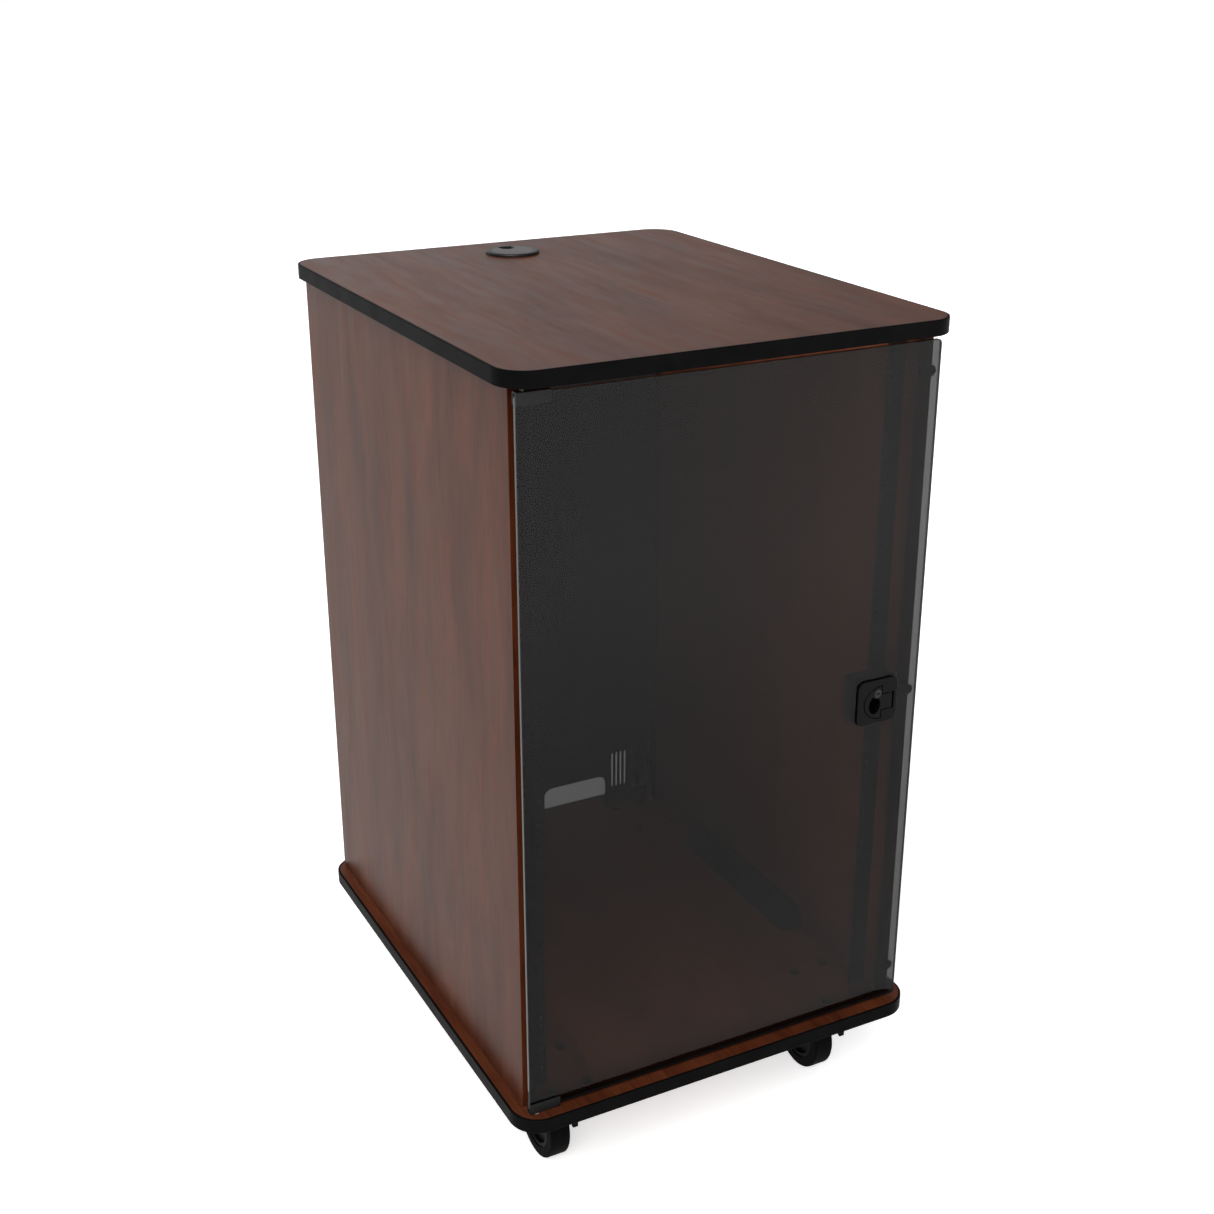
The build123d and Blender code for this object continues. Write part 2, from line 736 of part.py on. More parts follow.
def latch_handle():
    """D-shaped pull ring and its arm, with a rounded knuckle on the pivot pin."""
    slab = extrude(front_plane(plate_front + handle_thickness) * handle_outline(0), handle_thickness)
    knuckle_x = handle_pivot_x
    corner = block(knuckle_x, latch_x + arm_end_x, plate_front, plate_front + handle_thickness,
                   ring_z - arm_height / 2, ring_z + arm_height / 2)
    knuckle = rod(handle_thickness / 2, (knuckle_x, handle_pivot_y, ring_z - arm_height / 2),
                  (knuckle_x, handle_pivot_y, ring_z + arm_height / 2))
    slab = slab - corner + knuckle
    grip = Pos(latch_x + grip_x, latch_z - grip_drop) * Ellipse(grip_half_width, grip_half_height)
    grip = grip - Pos(latch_x + key_x, key_z) * Circle(key_radius + key_boss_wall)
    slab = slab - extrude(front_plane(plate_front + handle_thickness) * grip, handle_thickness)
    pin_bore = rod(handle_pin_radius + running_clearance,
                   (handle_pivot_x, handle_pivot_y, ring_z - arm_height),
                   (handle_pivot_x, handle_pivot_y, ring_z + arm_height))
    key_bore = rod(key_radius + running_clearance, (latch_x + key_x, plate_front, key_z),
                   (latch_x + key_x, plate_front + handle_thickness, key_z))
    return slab - pin_bore - key_bore


def key_cylinder():
    x = latch_x + key_x
    front = plate_front - key_proud
    plug = rod(key_radius, (x, front, key_z), (x, front + key_length, key_z))
    keyway = block(x - keyway_width / 2, x + keyway_width / 2, front, front + keyway_depth,
                   key_z - keyway_height / 2, key_z + keyway_height / 2)
    return plug - keyway


def bolt_shape(clearance, extra_length):
    """The bolt's box, or with a clearance and extra length the channel that it slides in."""
    right = latch_x + plate_width / 2 - bolt_inset
    y0 = body_front + bolt_from_body_front
    half = bolt_width / 2 + clearance
    return block(right - bolt_length - clearance, right + extra_length, y0 - clearance,
                 y0 + bolt_thickness + clearance, latch_z - half, latch_z + half)


def latch_bolt():
    bar = bolt_shape(0, 0)
    tip = bar.edges().filter_by(Axis.Z).sort_by(Axis.X)[-2:].sort_by(Axis.Y)[-1]
    return chamfer([tip], bolt_bevel)


def cover_limits():
    x0, x1, z0, z1 = housing_body_limits(cover_margin)
    return x0, latch_x + plate_width / 2, z0, z1


def latch_cover():
    """Rear shell that clamps the housing to the glass and hides the mechanism."""
    x0, x1, z0, z1 = cover_limits()
    back_y = plate_front + recess_depth + housing_back_wall
    outer = block(x0, x1, glass_back, back_y + cover_wall, z0, z1)
    outer = fillet(outer.edges().filter_by(Axis.Y), housing_corner)
    inner = block(x0 + cover_wall, x1 - cover_wall, glass_back, back_y, z0 + cover_wall, z1 - cover_wall)
    inner = fillet(inner.edges().filter_by(Axis.Y), housing_corner - cover_wall)
    window = bolt_shape(bolt_clearance, bolt_travel)
    return outer - inner - window - latch_cover_screw_holes()


def latch_cover_screw_seats():
    x = latch_x + ring_flat_x - ring_reach + cover_screw_inset
    y = plate_front + recess_depth + housing_back_wall + cover_wall
    return [(x, y, ring_z - cover_screw_offset), (x, y, ring_z + cover_screw_offset)]


def latch_cover_screw_holes():
    return [rod(screw_radius, seat, (seat[0], seat[1] - screw_length, seat[2]))
            for seat in latch_cover_screw_seats()]


# ---------------------------------------------------------------- rear door
def rear_panel():
    """Folded steel pan, flanged to the inside at both sides and the top, with cut-outs and vents."""
    sheet = block(-rear_edge_x, rear_edge_x, rear_inner, rear_face, rear_bottom, rear_top)
    y0 = rear_inner - rear_flange
    flanges = block(-rear_edge_x, rear_edge_x, y0, rear_face, rear_bottom, rear_top)
    flanges = flanges - block(-rear_edge_x + rear_sheet, rear_edge_x - rear_sheet, y0, rear_inner,
                              rear_bottom, rear_top - rear_sheet)
    pan = sheet + flanges
    cuts = []
    width = cable_cut_outer_x - cable_cut_inner_x
    cut_top = floor_z + cable_cut_height
    tall = 2 * cable_cut_height
    outline = Pos((cable_cut_inner_x + cable_cut_outer_x) / 2, cut_top - tall / 2) * RectangleRounded(
        width, tall, cable_cut_corner)
    cuts.append(extrude(front_plane(rear_face) * outline, rear_sheet))
    for number in range(vent_count):
        x = vent_first_x + number * vent_pitch
        slot = Pos(x, floor_z + vent_bottom + vent_height / 2) * SlotOverall(
            vent_height, vent_width, rotation=90)
        cuts.append(extrude(front_plane(rear_face) * slot, rear_sheet))
    pan = pan - [cut for shape in cuts for cut in both_sides(shape)]
    tie_z = floor_z + tie_slot_above
    tie_slot = block(tie_slot_x - tie_slot_length / 2, tie_slot_x + tie_slot_length / 2, y0, rear_face,
                     tie_z - tie_slot_height / 2, tie_z + tie_slot_height / 2)
    pin_way = rod(rear_barrel_radius + overcut, (rear_pivot_x, rear_pivot_y, rear_top - rear_sheet - overcut),
                  (rear_pivot_x, rear_pivot_y, rear_top))
    lock_hole = rod(rear_plug_radius + running_clearance, (rear_lock_x, rear_inner, middle_z),
                    (rear_lock_x, rear_face, middle_z))
    return pan - tie_slot - pin_way - lock_hole


def rear_hinge():
    """Bottom pivot hinge riveted inside the pan: leaf, barrel and pin in one piece."""
    z0 = rear_bottom + rear_sheet
    leaf = block(rear_pivot_x - rear_hinge_reach, rear_pivot_x, rear_inner - rear_sheet, rear_inner,
                 z0 + tie_slot_above + tie_slot_height, z0 + rear_hinge_height)
    foot = block(rear_pivot_x - rear_barrel_radius, rear_pivot_x + rear_foot_reach,
                 rear_inner - rear_sheet, rear_inner, z0, z0 + rear_hinge_height)
    barrel = rod(rear_barrel_radius, (rear_pivot_x, rear_pivot_y, z0),
                 (rear_pivot_x, rear_pivot_y, z0 + rear_barrel_length))
    pin = rod(rear_pin_radius, (rear_pivot_x, rear_pivot_y, floor_z - pivot_pin_depth),
              (rear_pivot_x, rear_pivot_y, z0 + overcut))
    hinge = leaf + foot + barrel + pin
    rivet_x = rear_pivot_x - rivet_from_pivot
    low_rivet_z = z0 + tie_slot_above + tie_slot_height + rivet_margin / 2
    for z in (low_rivet_z, z0 + rear_hinge_height - rivet_margin):
        y = rear_inner - rear_sheet
        hinge = hinge + rod(rivet_radius, (rivet_x, y, z), (rivet_x, y - rivet_height, z))
    return hinge


def rear_lock():
    """Lock plug with its outer head, and the cam on its inner end, pointing down when unlocked."""
    head_y = rear_face + rear_head_gap
    plug = rod(rear_plug_radius, (rear_lock_x, rear_lock_back + cam_thickness, middle_z),
               (rear_lock_x, head_y, middle_z))
    head = rod(rear_head_radius, (rear_lock_x, head_y, middle_z),
               (rear_lock_x, head_y + rear_head_thickness, middle_z))
    head = fillet([head.faces().sort_by(Axis.Y)[-1].edges()[0]], rear_head_round)
    keyway = block(rear_lock_x - keyway_height / 2, rear_lock_x + keyway_height / 2, head_y,
                   head_y + rear_head_thickness, middle_z - rear_keyway_length / 2,
                   middle_z + rear_keyway_length / 2)
    plate = Pos(rear_lock_x, middle_z + (cam_width / 2 - cam_length) / 2) * RectangleRounded(
        cam_width, cam_length + cam_width / 2, cam_corner)
    cam = extrude(front_plane(rear_lock_back + cam_thickness) * plate, cam_thickness)
    return plug + (head - keyway), cam


# ---------------------------------------------------------------- casters
def caster_plate(x, y):
    """Top plate with the pressed upper race and the kingpin that carries the fork."""
    z1 = base_bottom
    z0 = z1 - caster_plate_thickness
    plate = block(x - plate_x / 2, x + plate_x / 2, y - plate_y / 2, y + plate_y / 2, z0, z1)
    plate = fillet(plate.edges().filter_by(Axis.Z), caster_plate_corner)
    race = rod(race_radius, (x, y, z0 - race_height), (x, y, z0))
    race = fillet([race.faces().sort_by(Axis.Z)[0].edges()[0]], race_round)
    pin_end = crown_bottom - kingpin_head_gap
    pin = rod(kingpin_radius, (x, y, pin_end), (x, y, z0))
    head = rod(kingpin_head_radius, (x, y, pin_end - kingpin_head_height), (x, y, pin_end))
    holes = []
    for side in (-1, 1):
        for end in (-1, 1):
            holes.append(caster_bolt_hole(x + side * caster_bolt_spacing_x / 2,
                                          y + end * caster_bolt_spacing_y / 2))
    return plate + race + pin + head - holes


def fork_leg_outline(braked):
    """Side view of a fork leg, in the swivel axis's own frame: local x is Y, local y is height."""
    pivot_z = base_bottom - brake_pivot_below_base
    front = brake_pivot_y - brake_boss
    with BuildSketch() as leg:
        with BuildLine():
            front_low = (front, pivot_z - brake_boss)
            points = [(front, crown_bottom + crown_height / 2), front_low,
                      (caster_trail - fork_leg_boss_y, wheel_radius - fork_leg_boss_z),
                      (caster_trail + fork_boss_radius, wheel_radius),
                      (fork_leg_back, crown_bottom + crown_height / 2)]
            Polyline(*points, close=True)
        make_face()
        with Locations((caster_trail, wheel_radius)):
            Circle(fork_boss_radius)
    outline = leg.sketch
    if braked:
        outline = outline - Pos(brake_pivot_y, pivot_z) * Circle(brake_pin_radius + running_clearance)
    return outline - Pos(caster_trail, wheel_radius) * Circle(axle_radius)


def side_plane(x):
    """Sketch plane facing +X: local x runs to the back, local y up."""
    return Plane(origin=(x, 0, 0), x_dir=(0, 1, 0), z_dir=(1, 0, 0))


def caster_fork(x, y, braked):
    crown = rod(crown_radius, (0, 0, crown_bottom), (0, 0, crown_top))
    crown = fillet([crown.faces().sort_by(Axis.Z)[-1].edges()[0]], crown_round)
    inner_x = wheel_width / 2 + fork_side_gap
    outline = fork_leg_outline(braked)
    right_leg = extrude(side_plane(inner_x) * outline, fork_thickness)
    fork = crown + right_leg + mirror(right_leg, about=Plane.YZ)
    fork = fork - rod(kingpin_radius + running_clearance, (0, 0, crown_bottom), (0, 0, crown_top))
    return Pos(x, y, 0) * fork


def caster_axle(x, y):
    """Axle bolt with its head on one leg and its lock nut on the other."""
    outer_x = wheel_width / 2 + fork_side_gap + fork_thickness
    shaft = rod(axle_radius, (-outer_x, caster_trail, wheel_radius), (outer_x, caster_trail, wheel_radius))
    head = rod(axle_head_radius, (-outer_x - axle_head_height, caster_trail, wheel_radius),
               (-outer_x, caster_trail, wheel_radius))
    head = fillet([head.faces().sort_by(Axis.X)[0].edges()[0]], axle_head_round)
    nut = extrude(side_plane(outer_x) * (Pos(caster_trail, wheel_radius) * RegularPolygon(
        axle_head_radius, 6, major_radius=False)), axle_head_height)
    return Pos(x, y, 0) * (shaft + head + nut)


def caster_hub(x, y):
    inner_x = wheel_width / 2 + fork_side_gap - hub_side_gap
    half = hub_width / 2
    boss = rod(hub_boss_radius, (-inner_x, caster_trail, wheel_radius), (inner_x, caster_trail, wheel_radius))
    disc = rod(hub_radius, (-half, caster_trail, wheel_radius), (half, caster_trail, wheel_radius))
    bore = rod(axle_radius + running_clearance, (-inner_x, caster_trail, wheel_radius),
               (inner_x, caster_trail, wheel_radius))
    for side in (-1, 1):
        dish = rod(hub_radius - hub_rim, (side * (half - hub_dish_depth), caster_trail, wheel_radius),
                   (side * half, caster_trail, wheel_radius))
        disc = disc - dish
    return Pos(x, y, 0) * (disc + boss - bore)


def caster_tyre(x, y):
    half = wheel_width / 2
    tyre = rod(wheel_radius, (-half, caster_trail, wheel_radius), (half, caster_trail, wheel_radius))
    tyre = fillet(tyre.edges().filter_by(GeomType.CIRCLE), tread_round)
    core = rod(hub_radius, (-half, caster_trail, wheel_radius), (half, caster_trail, wheel_radius))
    return Pos(x, y, 0) * (tyre - core)


def caster_brake(x, y):
    """Foot pedal ahead of the fork, with a shoe that swings back towards the tread."""
    half = wheel_width / 2 + fork_side_gap - brake_side_gap
    pivot_z = base_bottom - brake_pivot_below_base
    tip_z = base_bottom - brake_tip_below_base
    t = brake_arm_thickness / 2
    with BuildSketch() as side_view:
        with BuildLine():
            points = [(brake_pivot_y, pivot_z + t), (brake_tip_y + t, tip_z + t), (brake_tip_y, tip_z),
                      (brake_tip_y + t, tip_z - t), (brake_pivot_y - 2 * t, pivot_z - 2 * t),
                      (brake_pivot_y - t, pivot_z - brake_shoe_drop),
                      (brake_pivot_y + brake_shoe_thickness, pivot_z - brake_shoe_drop),
                      (brake_pivot_y + brake_shoe_thickness, pivot_z - brake_shoe_drop + t),
                      (brake_pivot_y + t, pivot_z)]
            Polyline(*points, close=True)
        make_face()
        with Locations((brake_pivot_y, pivot_z)):
            Circle(t)
    arm = extrude(side_plane(-half) * side_view.sketch, 2 * half)
    tooth_y = brake_tip_y + t
    tooth = block(brake_tooth_x - brake_tooth_width / 2, brake_tooth_x + brake_tooth_width / 2,
                  tooth_y - brake_tooth_thickness / 2, tooth_y + brake_tooth_thickness / 2,
                  tip_z - brake_tooth_drop, tip_z)
    outer_x = wheel_width / 2 + fork_side_gap + fork_thickness
    pin = rod(brake_pin_radius, (-outer_x, brake_pivot_y, pivot_z), (outer_x, brake_pivot_y, pivot_z))
    return Pos(x, y, 0) * (arm + tooth + pin)


# ---------------------------------------------------------------- write every node
os.makedirs("parts", exist_ok=True)

save("top_panel", top_panel)
save("top_edge_moulding", top_moulding)
save("base_panel", base_panel)
save("base_edge_moulding", base_moulding)
save("side_panel_left", left_panel)
save("side_panel_right", right_panel)
save("side_edge_bands", *edge_bands())

base_angles = both_sides(angle)
save("base_angles", *base_angles)
save("top_angles", *[both_ends(shape)[1] for shape in base_angles])
wood_screws = [copy for shape in angle_screws for copy in both_sides(shape)]
wood_screws = [copy for shape in wood_screws for copy in both_ends(shape)]
wood_screws += [copy for shape in rail_screws for copy in both_sides(shape)]
wood_screws += strike_screws + catch_screws + both_sides(stop_screw)
save("wood_screws", *wood_screws)

save("rack_rail_right", rail)
save("rack_rail_left", mirror(rail, about=Plane.YZ))

save("grommet_sleeve", grommet_sleeve)
save("grommet_cap", grommet_cap)
save("pivot_bushings", *bushings)

bumper_x = wall_x + side_thickness / 2
bumper_y = glass_back + bumper_gap
bumper_levels = (floor_z + bumper_from_end, middle_z, ceiling_z - bumper_from_end)
save("door_bumpers", *[rod(bumper_radius, (bumper_x, bumper_y, z), (bumper_x, body_front, z))
                       for z in bumper_levels])

save("glass_door", glass_panel())
clip, gasket, clamp_screws, bottom_pin = hinge_clip()
save("hinge_clip_bottom", clip)
save("hinge_clip_top", to_top(clip))
save("hinge_gaskets", gasket, to_top(gasket))
save("hinge_clamp_screws", *clamp_screws, *[to_top(shape) for shape in clamp_screws])
save("hinge_pins", bottom_pin, top_clip_pin())

save("latch_housing", latch_housing())
save("latch_handle", latch_handle())
save("latch_handle_pin", handle_pin())
save("latch_key_cylinder", key_cylinder())
save("latch_bolt", latch_bolt())
save("latch_cover", latch_cover())
cover_screws = [screw(seat, (0, -1, 0), screw_length, screw_radius, screw_head_radius, screw_head_height)
                for seat in latch_cover_screw_seats()]
save("latch_cover_screws", *cover_screws)
save("latch_strike", strike_plate)

save("rear_door", rear_panel())
bottom_hinge = rear_hinge()
save("rear_hinges", *both_ends(bottom_hinge))
lock_plug, lock_cam = rear_lock()
save("rear_lock_plug", lock_plug)
save("rear_lock_cam", lock_cam)
save("rear_lock_catch", catch)
save("rear_door_stops", *both_sides(stop))

bolts_and_nuts = [caster_fixing(px, py) for px, py in caster_bolt_points()]
save("caster_bolts", *[pair[0] for pair in bolts_and_nuts])
save("caster_nuts", *[pair[1] for pair in bolts_and_nuts])
for place, (px, py) in caster_places.items():
    has_brake = place.startswith("front")
    save(f"caster_plate_{place}", caster_plate(px, py))
    save(f"caster_fork_{place}", caster_fork(px, py, has_brake))
    save(f"caster_axle_{place}", caster_axle(px, py))
    save(f"caster_hub_{place}", caster_hub(px, py))
    save(f"caster_tyre_{place}", caster_tyre(px, py))
    if has_brake:
        save(f"caster_brake_{place}", caster_brake(px, py))
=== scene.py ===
import json
import math

import bpy
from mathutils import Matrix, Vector

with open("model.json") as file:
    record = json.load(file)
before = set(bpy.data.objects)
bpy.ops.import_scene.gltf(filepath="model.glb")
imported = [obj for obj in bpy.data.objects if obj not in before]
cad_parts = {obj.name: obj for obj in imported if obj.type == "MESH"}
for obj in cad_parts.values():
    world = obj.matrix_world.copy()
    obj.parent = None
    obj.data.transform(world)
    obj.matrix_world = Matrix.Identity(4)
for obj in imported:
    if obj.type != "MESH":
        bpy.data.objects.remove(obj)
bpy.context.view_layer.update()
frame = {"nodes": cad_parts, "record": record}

# ---------------------------------------------------------------- camera, in metres
CAMERA_PLACE = Vector((-0.953, -1.839, 1.483))
CAMERA_AZIMUTH = math.radians(27.59)      # from +Y towards +X
CAMERA_DOWN = math.radians(22.03)
CAMERA_LENS = 49.9                        # millimetres on a 36 mm sensor


def look(direction):
    """Rotation of a camera or lamp that looks along a direction."""
    return direction.to_track_quat("-Z", "Y").to_euler()


def add_camera():
    camera = bpy.data.objects.new("camera", bpy.data.cameras.new("camera"))
    bpy.context.scene.collection.objects.link(camera)
    level = math.cos(CAMERA_DOWN)
    direction = Vector((math.sin(CAMERA_AZIMUTH) * level, math.cos(CAMERA_AZIMUTH) * level,
                        -math.sin(CAMERA_DOWN)))
    camera.location = CAMERA_PLACE
    camera.rotation_euler = look(direction)
    camera.data.lens = CAMERA_LENS
    camera.data.sensor_width = 36.0
    camera.data.clip_end = 100.0
    bpy.context.scene.camera = camera


# ---------------------------------------------------------------- node helpers
class Shader:
    """A material's node tree, with short calls for the nodes used here."""

    def __init__(self, name):
        self.material = bpy.data.materials.new(name)
        self.material.use_nodes = True
        self.tree = self.material.node_tree
        self.bsdf = self.tree.nodes["Principled BSDF"]

    def node(self, kind, **settings):
        made = self.tree.nodes.new(kind)
        for key, value in settings.items():
            setattr(made, key, value)
        return made

    def put(self, socket, value):
        """Link a node's output to a socket, or set the socket's plain value."""
        if isinstance(value, bpy.types.NodeSocket):
            self.tree.links.new(value, socket)
        else:
            socket.default_value = value

    def coords(self, scale):
        """Row-frame coordinates in metres, times a scale on each axis."""
        where = self.node("ShaderNodeTexCoord").outputs["Object"]
        mapping = self.node("ShaderNodeMapping")
        self.put(mapping.inputs["Vector"], where)
        mapping.inputs["Scale"].default_value = scale
        return mapping.outputs["Vector"]

    def noise(self, vector, scale=1.0, detail=2.0, roughness=0.5, distortion=0.0):
        made = self.node("ShaderNodeTexNoise")
        self.put(made.inputs["Vector"], vector)
        made.inputs["Scale"].default_value = scale
        made.inputs["Detail"].default_value = detail
        made.inputs["Roughness"].default_value = roughness
        made.inputs["Distortion"].default_value = distortion
        return made.outputs["Fac"]

    def ramp(self, factor, stops):
        made = self.node("ShaderNodeValToRGB")
        self.put(made.inputs["Fac"], factor)
        elements = made.color_ramp.elements
        while len(elements) < len(stops):
            elements.new(0.5)
        for element, (place, colour) in zip(elements, stops):
            element.position = place
            element.color = tuple(colour) + (1.0,)
        return made.outputs["Color"]

    def grey_ramp(self, factor, stops):
        return self.ramp(factor, [(place, (value, value, value)) for place, value in stops])

    def mix(self, factor, a, b, blend="MIX"):
        made = self.node("ShaderNodeMix", data_type="RGBA", blend_type=blend)
        self.put(made.inputs["Factor"], factor)
        self.put(made.inputs["A"], a if isinstance(a, bpy.types.NodeSocket) else tuple(a) + (1.0,))
        self.put(made.inputs["B"], b if isinstance(b, bpy.types.NodeSocket) else tuple(b) + (1.0,))
        return made.outputs["Result"]

    def math(self, operation, a, b=0.0):
        made = self.node("ShaderNodeMath", operation=operation)
        self.put(made.inputs[0], a)
        self.put(made.inputs[1], b)
        return made.outputs[0]

    def bump(self, height, strength, distance):
        made = self.node("ShaderNodeBump")
        made.inputs["Strength"].default_value = strength
        made.inputs["Distance"].default_value = distance
        self.put(made.inputs["Height"], height)
        self.put(self.bsdf.inputs["Normal"], made.outputs["Normal"])


# ---------------------------------------------------------------- materials
def stretched(grain, across, along):
    """Noise scale that is fine across the grain and long along it."""
    return tuple(along if axis == grain else across for axis in "XYZ")


def laminate(name, grain, dark, light, ior):
    """Mahogany laminate: broad tone bands, figure, fine pores and a satin print surface."""
    shader = Shader(name)
    bands = shader.noise(shader.coords(stretched(grain, 16.0, 3.4)), 1.0, 4.0, 0.6, 0.5)
    figure = shader.noise(shader.coords(stretched(grain, 62.0, 7.0)), 1.0, 5.0, 0.6, 0.5)
    pores = shader.noise(shader.coords(stretched(grain, 620.0, 22.0)), 1.0, 2.0, 0.5)
    blend = shader.math("ADD", shader.math("MULTIPLY", bands, 0.6), shader.math("MULTIPLY", figure, 0.4))
    colour = shader.ramp(blend, [(0.36, dark), (0.64, light)])
    pore_mask = shader.grey_ramp(pores, [(0.56, 1.0), (0.68, 0.62)])
    colour = shader.mix(1.0, colour, pore_mask, "MULTIPLY")
    shader.put(shader.bsdf.inputs["Base Color"], colour)
    rough = shader.grey_ramp(figure, [(0.3, 0.33), (0.7, 0.43)])
    shader.put(shader.bsdf.inputs["Roughness"], rough)
    shader.bsdf.inputs["IOR"].default_value = ior
    shader.bump(shader.math("ADD", shader.math("MULTIPLY", figure, 0.4), pore_mask), 0.16, 0.0004)
    return shader.material


def plastic(name, colour, rough, ior=1.35, grain=900.0, bump=0.12, mottling=0.25):
    """Moulded plastic or vinyl: fine pebble grain and slightly uneven tone."""
    shader = Shader(name)
    pebble = shader.noise(shader.coords((1, 1, 1)), grain, 2.0, 0.5)
    cloud = shader.noise(shader.coords((1, 1, 1)), 24.0, 3.0, 0.6)
    darker = tuple(channel * (1 - mottling) for channel in colour)
    lighter = tuple(channel * (1 + mottling) for channel in colour)
    shader.put(shader.bsdf.inputs["Base Color"], shader.ramp(cloud, [(0.3, darker), (0.7, lighter)]))
    shader.put(shader.bsdf.inputs["Roughness"],
               shader.grey_ramp(cloud, [(0.25, rough - 0.05), (0.75, rough + 0.07)]))
    shader.bsdf.inputs["IOR"].default_value = ior
    shader.bump(pebble, bump, 0.0003)
    return shader.material


def powder_coat(name, colour, rough=0.5, ior=1.35):
    """Black powder coat: a very slight orange peel, with small bright specks."""
    shader = Shader(name)
    peel = shader.noise(shader.coords((1, 1, 1)), 700.0, 2.0, 0.55)
    cloud = shader.noise(shader.coords((1, 1, 1)), 9.0, 2.0, 0.5)
    specks = shader.noise(shader.coords((1, 1, 1)), 1500.0, 0.0, 0.5)
    base = shader.ramp(cloud, [(0.3, tuple(c * 0.8 for c in colour)), (0.7, tuple(c * 1.2 for c in colour))])
    speck_mask = shader.grey_ramp(specks, [(0.72, 0.0), (0.78, 0.25)])
    shader.put(shader.bsdf.inputs["Base Color"], shader.mix(speck_mask, base, (0.12, 0.12, 0.12)))
    shader.put(shader.bsdf.inputs["Roughness"],
               shader.grey_ramp(cloud, [(0.3, rough - 0.05), (0.7, rough + 0.06)]))
    shader.bsdf.inputs["IOR"].default_value = ior
    shader.bump(peel, 0.06, 0.0002)
    return shader.material


def plated(name, colour, rough, streaks=(300.0, 300.0, 30.0)):
    """Plated metal: drawn streaks and a faint cloudy tarnish."""
    shader = Shader(name)
    drawn = shader.noise(shader.coords(streaks), 1.0, 3.0, 0.6)
    cloud = shader.noise(shader.coords((1, 1, 1)), 60.0, 3.0, 0.6)
    dull = tuple(channel * 0.72 for channel in colour)
    shader.put(shader.bsdf.inputs["Base Color"], shader.ramp(cloud, [(0.3, dull), (0.65, colour)]))
    shader.put(shader.bsdf.inputs["Roughness"],
               shader.grey_ramp(drawn, [(0.3, rough - 0.07), (0.7, rough + 0.1)]))
    shader.bsdf.inputs["Metallic"].default_value = 1.0
    shader.bump(drawn, 0.08, 0.0002)
    return shader.material


def rubber(name, colour, rough=0.7):
    """Rubber: matt, dusty in patches, with fine moulding grain."""
    shader = Shader(name)
    grain = shader.noise(shader.coords((1, 1, 1)), 1100.0, 2.0, 0.6)
    dust = shader.noise(shader.coords((1, 1, 1)), 45.0, 4.0, 0.65)
    dusty = tuple(channel * 1.7 for channel in colour)
    shader.put(shader.bsdf.inputs["Base Color"], shader.ramp(dust, [(0.4, colour), (0.75, dusty)]))
    shader.put(shader.bsdf.inputs["Roughness"],
               shader.grey_ramp(dust, [(0.3, rough - 0.06), (0.7, rough + 0.1)]))
    shader.bsdf.inputs["IOR"].default_value = 1.1
    shader.bump(grain, 0.2, 0.0003)
    return shader.material


def smoked_glass(name, tint, edge_colour):
    """Dark tempered pane: see-through faces with faint smears, and paler ground edges."""
    shader = Shader(name)
    normal = shader.node("ShaderNodeTexCoord").outputs["Normal"]
    split = shader.node("ShaderNodeSeparateXYZ")
    shader.put(split.inputs["Vector"], normal)
    facing = shader.math("ABSOLUTE", split.outputs["Y"])
    is_face = shader.grey_ramp(facing, [(0.55, 0.0), (0.9, 1.0)])
    smear = shader.noise(shader.coords((3.0, 3.0, 1.2)), 1.0, 4.0, 0.6, 0.5)
    shader.put(shader.bsdf.inputs["Base Color"], shader.mix(is_face, edge_colour, tint))
    alpha = shader.grey_ramp(is_face, [(0.0, GLASS_EDGE_ALPHA), (1.0, GLASS_FACE_ALPHA)])
    shader.put(shader.bsdf.inputs["Alpha"], alpha)
    shader.put(shader.bsdf.inputs["Roughness"],
               shader.grey_ramp(smear, [(0.35, 0.035), (0.8, 0.07)]))
    shader.bsdf.inputs["IOR"].default_value = GLASS_IOR
    return shader.material


# Refraction indices are set for the studio's broad light, below the real materials' own.
FLAT_IOR = 1.20
UPRIGHT_IOR = 1.14
BAND_IOR = 1.1
GLASS_IOR = 1.25
GLASS_FACE_ALPHA = 0.72
GLASS_EDGE_ALPHA = 0.96
MAHOGANY_DARK = (0.044, 0.0105, 0.0042)
MAHOGANY_LIGHT = (0.092, 0.025, 0.0100)
# Upright laminate: the flat boards' mahogany, with its colours lowered as painted shade on the side panels.
UPRIGHT_SHADED_DARK = (0.038, 0.0110, 0.0055)
UPRIGHT_SHADED_LIGHT = (0.082, 0.0270, 0.0140)
# Edge band: mahogany grain in the band's own tone, set darker than the boards as painted shade on the front
# edges.
BAND_SHADED_DARK = (0.036, 0.0075, 0.0022)
BAND_SHADED_LIGHT = (0.062, 0.0145, 0.0045)


